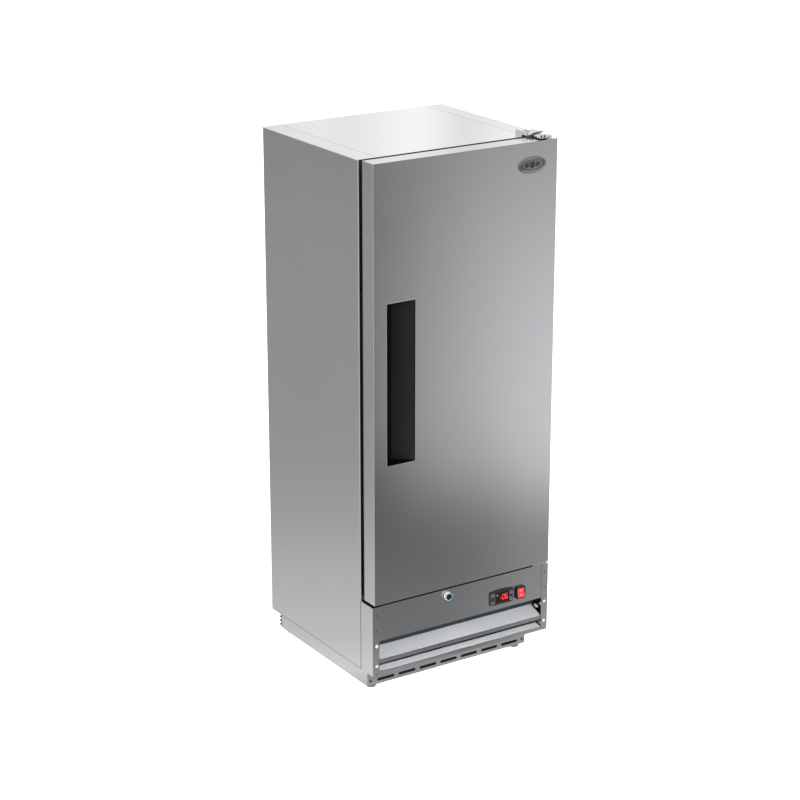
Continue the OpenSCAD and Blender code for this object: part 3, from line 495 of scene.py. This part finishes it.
# dark marks: an oval line, a snowflake in the middle and three short bars on each side
bm = bmesh.new()
wire(bm, oval(badge_at[0] + 0.001, badge_at[2] + 0.001, badge_r[0] * 0.82, badge_r[1] * 0.58,
              badge_at[1] - badge_h * 0.50, 72), 0.0010, closed=True)
mark_y = badge_at[1] - badge_h * 0.80
for arm in range(6):
    turn = Matrix.Translation((badge_at[0], mark_y, badge_at[2])) @ TO_FRONT @ turned(60 * arm, "Z")
    prism(bm, [mm(-1.1, 1.6), mm(1.1, 1.6), mm(1.1, 9.5), mm(-1.1, 9.5)], turn, 0.0005)
    for side in (-1, 1):
        branch = turn @ Matrix.Translation(mm(0, 5.5, 0)) @ turned(50 * side, "Z")
        prism(bm, [mm(-0.8, 0), mm(0.8, 0), mm(0.8, 3.8), mm(-0.8, 3.8)], branch, 0.0005)
for side in (-1, 1):
    for row, length in ((-4.2, 11), (0, 15), (4.2, 11)):
        at = Matrix.Translation((badge_at[0] + side * (0.0125 + length / 2000), mark_y + 0.0004,
                                 badge_at[2] + row / 1000)) @ TO_FRONT
        prism(bm, round_box(*mm(length, 2.6, 1.2)), at, 0.0006)
piece("badge_mark", bm, "door", MARK_BLACK, smooth=False)

# ----- screws and rivets of the lower front -----

SCREWS = [(x / 1000, FACE, z / 1000) for x in (-302, 302) for z in (174.5, 111)]


def screw_height(rise):
    """Domed head with a cross recess."""
    def height(k, a):
        dome = rise * math.sqrt(max(0.0, 1 - (k * 0.93) ** 2))
        x, y = abs(k * math.cos(a)), abs(k * math.sin(a))
        cut = min(x, y) < 0.11 and max(x, y) < 0.55
        return dome - (rise * 0.45 if cut else 0.0)
    return height


def plain_height(rise):
    """Plain domed head."""
    return lambda k, a: rise * math.sqrt(max(0.0, 1 - (k * 0.96) ** 2))


bm, dark = bmesh.new(), bmesh.new()
for at in SCREWS:
    relief(bm, at, mm(5.2, 5.2), 12, 48, screw_height(0.0022))
plate_lo, plate_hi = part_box("kick_plate")
for side in (-1, 1):
    for z, r in ((272, 2.6), (221.5, 2.6), (86, 2.2)):
        relief(dark, (side * 0.302, FACE, z / 1000), mm(r, r), 6, 24, plain_height(0.0008))
for side in (-1, 1):
    relief(dark, (side * 0.276, plate_lo.y, 0.026), mm(4, 4), 12, 48, screw_height(0.0016))
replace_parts(piece("front_screws", bm, "cabinet", BRIGHT_ZINC), "panel_fasteners")
piece("front_rivets", dark, "cabinet", DARK_STEEL)

# dark rings under the larger heads: painted shade round their edges
bm = bmesh.new()
for x, y, z in SCREWS:
    wire(bm, oval(x, z, 0.0056, 0.0056, y - 0.0003, 32), 0.0006, closed=True, sides=8)
piece("screw_shade_rings", bm, "cabinet", DARK_STEEL)

# ears that carry the louvres on the frame's cheeks, with their domed screws
bm, dark = bmesh.new(), bmesh.new()
for side in (-1, 1):
    inward = turned(-90 * side, "Y")
    near, far = sorted((side * 0.3030, side * 0.3045))
    slab(dark, (near, FRONT - 0.062, 0.0850), (far, FRONT - 0.008, 0.1800))
    for y, z, ry, rz in ((-24, 144.5, 11, 5.5), (-50, 160, 6.5, 4.5), (-45, 96, 10, 5)):
        head = (side * 0.3030, FRONT + y / 1000, z / 1000)
        relief(bm, head, mm(rz, ry), 8, 32, plain_height(0.0035), inward)
# the screws' near-white zinc is painted light
piece("louvre_screws", bm, "cabinet", LIT_EAR_ZINC)
piece("louvre_ears", dark, "cabinet", DARK_STEEL, smooth=False)

# dark grey filter mats behind the louvres, with upright ribs; their dark tone is painted shade
MAT_RIBS, RIB_PITCH, RIB_HALF = 60, 0.010, 0.0006
bm = bmesh.new()
for deep, z0, z1 in ((0.0275, 0.0835, 0.1180), (0.0560, 0.1180, 0.1870)):
    mat_y = FACE + deep
    slab(bm, (-0.300, mat_y, z0), (0.300, mat_y + 0.002, z1))
    for i in range(MAT_RIBS):
        x = (i - (MAT_RIBS - 1) / 2) * RIB_PITCH
        slab(bm, (x - RIB_HALF, mat_y - RIB_HALF, z0 + 0.002), (x + RIB_HALF, mat_y, z1 - 0.002))
piece("filter_shade_mats", bm, "cabinet", SHADE_MAT_GREY, smooth=False)

# kick plate: black screen with ribs behind it, and black liners in its seven slots; both are painted shade
# that makes the slots read black
SHADE_SCREEN_RIBS = 24
bm = bmesh.new()
slab(bm, (plate_lo.x + 0.0275, plate_hi.y - 0.0005, 0.0165),
     (plate_hi.x - 0.0265, plate_hi.y + 0.0010, 0.0450))
for i in range(SHADE_SCREEN_RIBS):
    x = plate_lo.x + 0.035 + i * (plate_hi.x - plate_lo.x - 0.07) / (SHADE_SCREEN_RIBS - 1)
    slab(bm, (x - 0.0004, plate_hi.y + 0.0008, 0.018), (x + 0.0004, plate_hi.y + 0.0016, 0.0440))
for i in range(-3, 4):
    at = Matrix.Translation((i * 0.075 + 0.003, plate_hi.y, 0.02525)) @ TO_FRONT
    prism(bm, round_box(0.0604, 0.0089, 0.0044), at, plate_hi.y - plate_lo.y + 0.00005)
piece("kick_shade_screen", bm, "cabinet", MARK_BLACK, smooth=False)

# plinth's back: black sheet with five pressed louvre blades, quarter-round in section
BLADE_DROP, BLADE_PITCH = 0.0085, 0.0125
grille_lo, grille_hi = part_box("base_rear_grille")
sheet_y = grille_lo.y + 0.0035
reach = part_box("back_panel")[1].y - 0.0003 - sheet_y
bm = bmesh.new()
slab(bm, (grille_lo.x, grille_lo.y, grille_lo.z), (grille_hi.x, sheet_y, grille_hi.z))
along_x = Matrix(((0, 0, 1, grille_lo.x), (1, 0, 0, 0), (0, 1, 0, 0), (0, 0, 0, 1)))
for i in range(5):
    z = grille_hi.z - 0.004 - i * BLADE_PITCH
    outer = [(sheet_y + reach * math.sin(a), z - BLADE_DROP * (1 - math.cos(a)))
             for a in (math.pi / 2 * k / 6 for k in range(7))]
    inner = [(y - 0.0010 if k else y, w - 0.0014) for k, (y, w) in enumerate(outer)]
    prism(bm, outer + list(reversed(inner)), along_x, grille_hi.x - grille_lo.x)
grille = piece("plinth_grille", bm, "cabinet", MARK_BLACK, smooth=False)
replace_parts(grille, "base_rear_grille")

# black strips, painted shadow in the joints of the side sheets and the roof, and steel strips in the joints
side_lo, side_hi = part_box("left_side_panel")
frame_lo, frame_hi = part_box("grille_frame")
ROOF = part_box("top_panel")[1].z
ROOF_SEAM = 0.2548
SHADOW_STRIP_END = FRONT + 0.0018
back_end = side_hi.y - 0.002
bm, cover = bmesh.new(), bmesh.new()
for side in (-1, 1):
    edge = side * -side_lo.x
    x0, x1 = sorted((edge - side * 0.0001, edge - side * 0.0040))
    slab(bm, (x0, FRONT - 0.0008, frame_lo.z), (x1, SHADOW_STRIP_END, frame_hi.z))
    slab(cover, (x0, FRONT, side_lo.z - 0.00012), (x1, back_end, side_lo.z))
    slab(cover, (x0, SHADOW_STRIP_END, frame_lo.z), (x1, FRONT + 0.0030, frame_hi.z))
    fold = side * ROOF_SEAM
    slab(bm, (fold - 0.0004, FRONT + 0.0005, ROOF - 0.0006), (fold + 0.0004, back_end, ROOF + 0.00005))
piece("side_joint_shadows", bm, "cabinet", MARK_BLACK, smooth=False)
piece("joint_covers", cover, "cabinet", MATERIALS["side_steel"], smooth=False)

# the upper louvre's lip hangs a little lower than its fold
lip_lo, lip_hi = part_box("upper_louvre")
bm = bmesh.new()
slab(bm, (lip_lo.x, lip_lo.y + 0.0001, lip_lo.z - 0.0018),
     (lip_hi.x, lip_lo.y + 0.0016, lip_lo.z + 0.0100))
piece("louvre_lip", bm, "cabinet", LIT_LOWER_STEEL, smooth=False, bevel=0.0004)

# bright steel edge round the pull's opening
PULL_X, PULL_Z = (-0.268, -0.173), (0.727, 1.207)
EDGE_OUT = 0.0016
bm = bmesh.new()
mid = (sum(PULL_X) / 2, sum(PULL_Z) / 2)
edge_line = round_box(PULL_X[1] - PULL_X[0] + EDGE_OUT, PULL_Z[1] - PULL_Z[0] + EDGE_OUT, 0.003, steps=4)
wire(bm, [(mid[0] + x, DOOR - 0.0001, mid[1] + z) for x, z in edge_line], 0.0007, closed=True)
piece("pull_edge", bm, "door", MATERIALS["bracket_steel"])

# ----- controller -----

KEYS = {"upper_left": (109.5, 236), "lower_left": (109.5, 214), "upper_right": (177.6, 234),
        "lower_right": (177.6, 214.5)}          # x, z in mm
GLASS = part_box("display_window")[0].y

# seven-segment digits: each segment's place (in half widths, half heights) and whether it is upright
SEGMENTS = {"a": (0, 1, 0), "g": (0, 0, 0), "d": (0, -1, 0), "f": (-1, 0.5, 1), "b": (1, 0.5, 1),
            "e": (-1, -0.5, 1), "c": (1, -0.5, 1)}
DIGITS = [(138.0, "g"), (148.6, "abcdef"), (160.2, "afgedc")]
DIGIT_H, DIGIT_W, MINUS_W = 8.0, 3.9, 1.7       # mm: half heights and half widths of the digits
THICK, SLANT = 1.0, 0.10
bm = bmesh.new()
for x0, lit_segments in DIGITS:
    w = MINUS_W if lit_segments == "g" else DIGIT_W
    for key in lit_segments:
        dx, dz, upright = SEGMENTS[key]
        reach = DIGIT_H / 2 - 0.5 if upright else w - 0.5
        shape = [(-reach, 0), (-reach + THICK, THICK), (reach - THICK, THICK), (reach, 0),
                 (reach - THICK, -THICK), (-reach + THICK, -THICK)]
        if upright:
            shape = [(b, a) for a, b in shape]
        pts = [mm(dx * w + a + SLANT * (dz * DIGIT_H + b), dz * DIGIT_H + b) for a, b in shape]
        prism(bm, pts, Matrix.Translation((x0 / 1000, GLASS - 0.00002, 0.2262)) @ TO_FRONT, 0.00015)
piece("display_digits", bm, "cabinet", RED_LIGHT, smooth=False)

bm = bmesh.new()
relief(bm, (0.1263, GLASS, 0.2352), mm(1.6, 1.6), 6, 24, plain_height(0.0008))
piece("power_light", bm, "cabinet", GREEN_LIGHT)

bm = bmesh.new()
bezel_y = PANEL - 0.0032
for cx, cz, w, h in ((109.5, 225, 14.5, 35), (177.6, 224.2, 12, 31)):
    loop = [((cx + x * 1000) / 1000, bezel_y - 0.0001, (cz + z * 1000) / 1000)
            for x, z in round_box(*mm(w, h, 4), steps=6)]
    wire(bm, loop, 0.00045, closed=True, sides=8)
for x, z in KEYS.values():
    wire(bm, oval(x / 1000, z / 1000, 0.0047, 0.0047, bezel_y, 32), 0.0004, closed=True, sides=8)
piece("key_rims", bm, "cabinet", MARK_GREY)

for key, (x, z) in KEYS.items():
    bm = bmesh.new()
    at = Matrix.Translation((x / 1000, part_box("button_" + key)[0].y, z / 1000)) @ TO_FRONT
    if key == "upper_left":
        for arm in range(6):
            prism(bm, [mm(-0.35, 0.4), mm(0.35, 0.4), mm(0.35, 2.9), mm(-0.35, 2.9)],
                  at @ turned(60 * arm, "Z"), 0.0001)
    elif key == "lower_left":
        prism(bm, round_box(*mm(4.4, 1.6, 0.7)), at, 0.0001)
    else:
        s = 1 if key == "upper_right" else -1
        prism(bm, [mm(-2.4, -1.4 * s), mm(2.4, -1.4 * s), mm(0, 2.4 * s)][::s], at, 0.0001)
    piece("mark_" + key, bm, "key_" + key, MARK_GREY, smooth=False)

# ----- rocker marks: a bar above, a ring below -----

rock_lo, rock_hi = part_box("switch_rocker")
rock_x, rock_z = (rock_lo.x + rock_hi.x) / 2, 0.2254
TILT, PIVOT = math.radians(-7), PANEL - 0.002
CREASE, CREST, HALF_HEIGHT = 0.0046, 0.0072, 0.0144     # the rocker's depth at its middle and its ends


def on_rocker(side, up):
    """Frame on the rocker's upper (1) or lower (-1) face, at a height along it from the crease."""
    slope = math.atan2(CREST - CREASE, HALF_HEIGHT)
    turn = Matrix.Rotation(TILT, 4, "X")
    face = Matrix.Translation((0, -CREASE - up * math.sin(slope) - 0.00002, side * up * math.cos(slope)))
    lean = Matrix.Rotation(side * slope, 4, "X")
    return Matrix.Translation((rock_x, PIVOT, rock_z)) @ turn @ face @ lean @ TO_FRONT


bm = bmesh.new()
prism(bm, round_box(*mm(1.6, 6.5, 0.6)), on_rocker(1, 0.0072), 0.00015)
ring = on_rocker(-1, 0.0072)
wire(bm, [tuple(ring @ Vector((0.0028 * math.cos(a), 0.0028 * math.sin(a), 0.0)))
          for a in (2 * math.pi * i / 32 for i in range(32))], 0.0005, closed=True, sides=8)
piece("rocker_marks", bm, "rocker", MARK_PINK, smooth=False)

# ----- top hinge: black pad under the arm, painted shadow in the gap there; caps on the stop screws; lever over the arm -----

# painted shadow: a black pad in the gap under the arm
bm = bmesh.new()
slab(bm, (0.2575, FRONT - 0.0655, ROOF + 0.0004), (0.2740, FRONT - 0.0200, ROOF + 0.0034))
piece("hinge_shadow_pad", bm, "cabinet", MARK_BLACK, smooth=False, bevel=0.0004)
bm = bmesh.new()
for x, y in ((260, -61), (269, -63)):
    relief(bm, (x / 1000, FRONT + y / 1000, ROOF + 0.0070), mm(2.3, 2.3), 6, 24,
           lambda k, a: 0.0055 - 0.0006 * k * k, Matrix.Identity(4))
piece("stop_caps", bm, "cabinet", MARK_BLACK)

# painted shade: the lever's near-black steel stands for the shade on it
bm = bmesh.new()
lever = [(0.2400, -0.0185, 0.0021), (0.2450, -0.0197, 0.0030), (0.2510, -0.0205, 0.0055),
         (0.2575, -0.0195, 0.0085), (0.2640, -0.0150, 0.0090), (0.2760, -0.0110, 0.0090),
         (0.2900, -0.0080, 0.0090), (0.3050, -0.0050, 0.0090)]
wire(bm, [(x, FRONT + y, ROOF + z) for x, y, z in lever], 0.0019, sides=12)
piece("hinge_lever", bm, "cabinet", SHADED_ARM_STEEL)

# ----- lock: dark ring where the barrel meets the panel, painted shadow at the flange's edge -----

barrel_lo, barrel_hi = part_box("lock_barrel")
lock_at = ((barrel_lo.x + barrel_hi.x) / 2, (barrel_lo.z + barrel_hi.z) / 2)
bm = bmesh.new()
wire(bm, oval(lock_at[0], lock_at[1], 0.0134, 0.0134, PANEL - 0.0006, 48), 0.0006, closed=True)
piece("lock_shadow_ring", bm, "cabinet", DARK_STEEL)

# ----- evaporator: wire guard over the blower -----

guard_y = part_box("evaporator_cover")[0].y - 0.0012
fan_x, fan_z = 0.0, 1.497
bm = bmesh.new()
for r in (0.014, 0.025, 0.036, 0.047, 0.058):
    wire(bm, oval(fan_x, fan_z, r, r, guard_y, 64), 0.0009, closed=True, sides=8)
for k in range(8):
    a = math.pi / 4 * k + 0.39
    wire(bm, [(fan_x + r * math.cos(a), guard_y - 0.0014, fan_z + r * math.sin(a))
              for r in (0.012, 0.064)], 0.0011, sides=8)
piece("blower_guard", bm, "cabinet", MATERIALS["wire_steel"])

# ----- back: screws along the rear cover's upper and lower edges -----

bm = bmesh.new()
cover_lo, cover_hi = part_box("rear_cover")
for i in range(-3, 4):
    for z in (cover_lo.z + 0.006, cover_hi.z - 0.006):
        relief(bm, (i * 0.096, cover_hi.y, z), mm(3.6, 3.6), 10, 40, screw_height(0.0010), TO_BACK)
piece("cover_screws", bm, "cabinet", MATERIALS["screw_steel"])

# ---------- stage and light ----------


def stage_mesh(name, verts, faces, mat):
    mesh = bpy.data.meshes.new(name)
    mesh.from_pydata(verts, [], faces)
    mesh.materials.append(mat)
    obj = bpy.data.objects.new(name, mesh)
    scene.collection.objects.link(obj)
    return obj


def glossy_only(obj):
    obj.visible_camera = obj.visible_diffuse = obj.visible_shadow = False
    obj.visible_transmission = obj.visible_volume_scatter = False


def glow(name, make_colour):
    """Emission material; make_colour gives its colour from the tree and the object coordinates."""
    mat, t = material(name)
    sep = t.add("ShaderNodeSeparateXYZ")
    t.put(sep.inputs[0], t.add("ShaderNodeTexCoord").outputs["Object"])
    e = t.add("ShaderNodeEmission")
    t.put(e.inputs[0], make_colour(t, *sep.outputs))
    t.t.links.new(e.outputs[0], t.add("ShaderNodeOutputMaterial").inputs[0])
    return mat


DOME_R = 9.0
FLOOR_RUN = 7.5         # length over which the reflected floor's tone is laid out
CORNER_X = 0.315        # the side sheets, left and right of the middle
EDGE_GLOW = 0.9         # the bright strip on the floor to the left

# Tones of the reflected studio: (distance in metres, tone). The stops were worked out by hand from
# tones that a script read off the photo's door, side and roof, so these tables carry the photo's
# tones. The slants in ahead_of, floor_glow and dome_glow follow the photo's line of sight.
FRONT_TONE = [(0.0, 0.46), (0.1, 0.40), (0.17, 0.27), (0.3, 0.27), (0.51, 0.27), (0.7, 0.225),
              (0.95, 0.22), (1.17, 0.23), (1.47, 0.39), (1.79, 0.59), (2.2, 0.65), (2.6, 0.65),
              (3.4, 0.60), (4.5, 0.53), (5.9, 0.44), (6.7, 0.38), (7.5, 0.34)]
NEAR_ACROSS = [(-1.2, 0.9), (-0.6, 0.8), (-0.30, 0.86), (-0.1, 0.94), (0.0, 1.0), (0.1, 1.15),
               (0.2, 1.4), (0.3, 1.75), (0.8, 1.8)]
FAR_ACROSS = [(-1.2, 0.6), (-0.6, 0.28), (-0.30, 0.36), (-0.19, 0.69), (-0.1, 0.84), (0.0, 0.92),
              (0.1, 0.96), (0.2, 1.02), (0.3, 1.32), (0.8, 1.6)]
BACK_TONE = [(0.0, 1.0), (0.17, 0.95), (0.4, 0.80), (0.9, 0.666), (1.45, 0.52), (2.0, 0.46),
             (2.9, 0.435), (4.5, 0.43), (6.4, 0.416), (7.4, 0.35)]
ROOF_TONE = [(-0.6, 0.85), (-0.475, 0.81), (-0.40, 0.86), (-0.30, 0.93), (-0.20, 0.87), (-0.10, 0.95),
             (-0.05, 1.03), (0.0, 1.08), (0.05, 1.09), (0.10, 0.98), (0.145, 0.86), (0.185, 0.76),
             (0.215, 0.80), (0.255, 0.91), (0.315, 1.02), (0.385, 1.11), (0.6, 1.05)]


def tone_of(t, value, stops, lo, hi):
    """Half the tone that a table gives between lo and hi (a colour ramp holds nothing above 1)."""
    return t.ramp(t.spread(value, lo, hi, 0.0, 1.0),
                  [((a - lo) / (hi - lo), grey(v / 2)) for a, v in stops])


def ahead_of(t, x, y):
    """Distance from the object's left-front corner line, positive towards the front."""
    return t.math("SUBTRACT", t.math("MULTIPLY", x, 0.537), t.math("MULTIPLY", y, 0.843))


def floor_glow(t, x, y, z):
    """The studio floor as the steel sees it: bright ahead and to the right, dim close by, soft behind."""
    out = t.math("SUBTRACT", DOOR, y)
    # distance from the door and place across it, both measured slantwise on the floor
    run = t.math("ADD", t.math("MULTIPLY", x, 0.79), t.math("MULTIPLY", out, 0.61))
    across = t.math("SUBTRACT", x, t.math("MULTIPLY", out, 0.64))
    lateral = t.mix(t.spread(run, 0.8, 1.5, 0.0, 1.0), tone_of(t, across, NEAR_ACROSS, -1.2, 0.8),
                    tone_of(t, across, FAR_ACROSS, -1.2, 0.8))
    front = t.mix(1.0, tone_of(t, run, FRONT_TONE, 0.0, FLOOR_RUN), lateral, "MULTIPLY")
    ahead = ahead_of(t, x, y)
    behind = tone_of(t, t.math("MULTIPLY", ahead, -1.0), BACK_TONE, 0.0, FLOOR_RUN)
    # undo the tables' halving: once behind, twice in front, where two tables are multiplied
    front = t.mix(1.0, front, grey(4.0), "MULTIPLY")
    behind = t.mix(1.0, behind, grey(2.0), "MULTIPLY")
    floor_tone = t.mix(t.spread(ahead, -0.12, 0.12, 0.0, 1.0), behind, front)
    # a brighter strip to the left of the side sheet
    off = t.math("ABSOLUTE", t.math("SUBTRACT", y, -0.35))
    left = t.math("SUBTRACT", t.math("SUBTRACT", -CORNER_X, x), t.math("MULTIPLY", off, 1.3))
    return t.mix(t.spread(left, 0.0, 0.25, 0.0, 1.0), floor_tone, grey(EDGE_GLOW))


def dome_glow(t, x, y, z):
    """The studio's walls: dim low down, white above, with panels behind to the right for the roof."""
    up = t.spread(z, 0.0, DOME_R, 0.0, 1.0)
    plain = t.ramp(up, [(0.0, grey(0.36)), (0.12, grey(0.42)), (0.35, grey(0.9)), (0.5, grey(1.0)),
                        (1.0, grey(1.0))])
    wall = t.math("SUBTRACT", x, t.math("MULTIPLY", y, 0.637))
    strip = t.math("DIVIDE", t.math("SUBTRACT", wall, 0.11), 2.43)
    panels = t.mix(1.0, tone_of(t, strip, ROOF_TONE, -0.6, 0.6), grey(2.0), "MULTIPLY")
    back = t.spread(ahead_of(t, x, y), -1.0, -4.0, 0.0, 1.0)
    right = t.spread(t.math("ABSOLUTE", strip), 0.6, 1.2, 1.0, 0.0)
    pick = t.math("MULTIPLY", t.math("MULTIPLY", back, right), t.spread(z, 0.3, 1.2, 0.0, 1.0))
    return t.mix(pick, plain, panels)


def square(half, z):
    """Corners of a level square."""
    return [(-half, -half, z), (half, -half, z), (half, half, z), (-half, half, z)]


card = stage_mesh("floor_card", square(DOME_R, -0.003), [(0, 1, 2, 3)], glow("floor_card", floor_glow))
glossy_only(card)

bm = bmesh.new()
bmesh.ops.create_icosphere(bm, subdivisions=5, radius=DOME_R)
mesh = bpy.data.meshes.new("dome")
bm.to_mesh(mesh)
bm.free()
mesh.materials.append(glow("dome", dome_glow))
dome = bpy.data.objects.new("dome", mesh)
scene.collection.objects.link(dome)
glossy_only(dome)

floor_mat, t = material("floor")
paint = t.mix(t.noise(0.6), grey(0.93), grey(0.96))
surface(floor_mat, t, paint, 0.7)
t.put(principled(floor_mat).inputs["Emission Color"], paint)
principled(floor_mat).inputs["Emission Strength"].default_value = 0.62
floor = stage_mesh("floor", square(40, 0), [(0, 1, 2, 3)], floor_mat)
floor.visible_glossy = False

world = bpy.data.worlds.new("studio")
world.use_nodes = True
scene.world = world
sky = world.node_tree.nodes["Background"]
sky.inputs["Color"].default_value = (1.0, 1.0, 1.0, 1.0)
sky.inputs["Strength"].default_value = 1.0
scene.view_settings.view_transform = "Standard"
scene.view_settings.look = "None"


def area(name, location, aim, size, power):
    data = bpy.data.lights.new(name, "AREA")
    data.shape = "RECTANGLE"
    data.size, data.size_y = size
    data.energy = power
    obj = bpy.data.objects.new(name, data)
    obj.location = location
    obj.rotation_euler = (Vector(aim) - Vector(location)).to_track_quat("-Z", "Y").to_euler()
    obj.visible_glossy = False
    scene.collection.objects.link(obj)
    return obj


area("key", (2.5, -4.0, 4.0), (0, 0, 0.8), (2.5, 2.5), 160)
area("fill", (-4.0, -2.0, 3.0), (0, 0, 0.8), (3.0, 3.0), 90)
LOW_AT, LOW_AIM, NARROW = (-0.5, -3.2, 0.9), (0, -0.25, 0.14), math.radians(30)
area("low", LOW_AT, LOW_AIM, (1.4, 0.4), 5.2).data.spread = NARROW
# a slit of light that reaches only the louvre blades
slit = area("slit", LOW_AT, LOW_AIM, (1.4, 0.3), 18.0)
slit.data.spread = NARROW
blades = bpy.data.collections.new("blades")
for n in ("upper_louvre", "lower_louvre"):
    blades.objects.link(NODES[n])
slit.light_linking.receiver_collection = blades
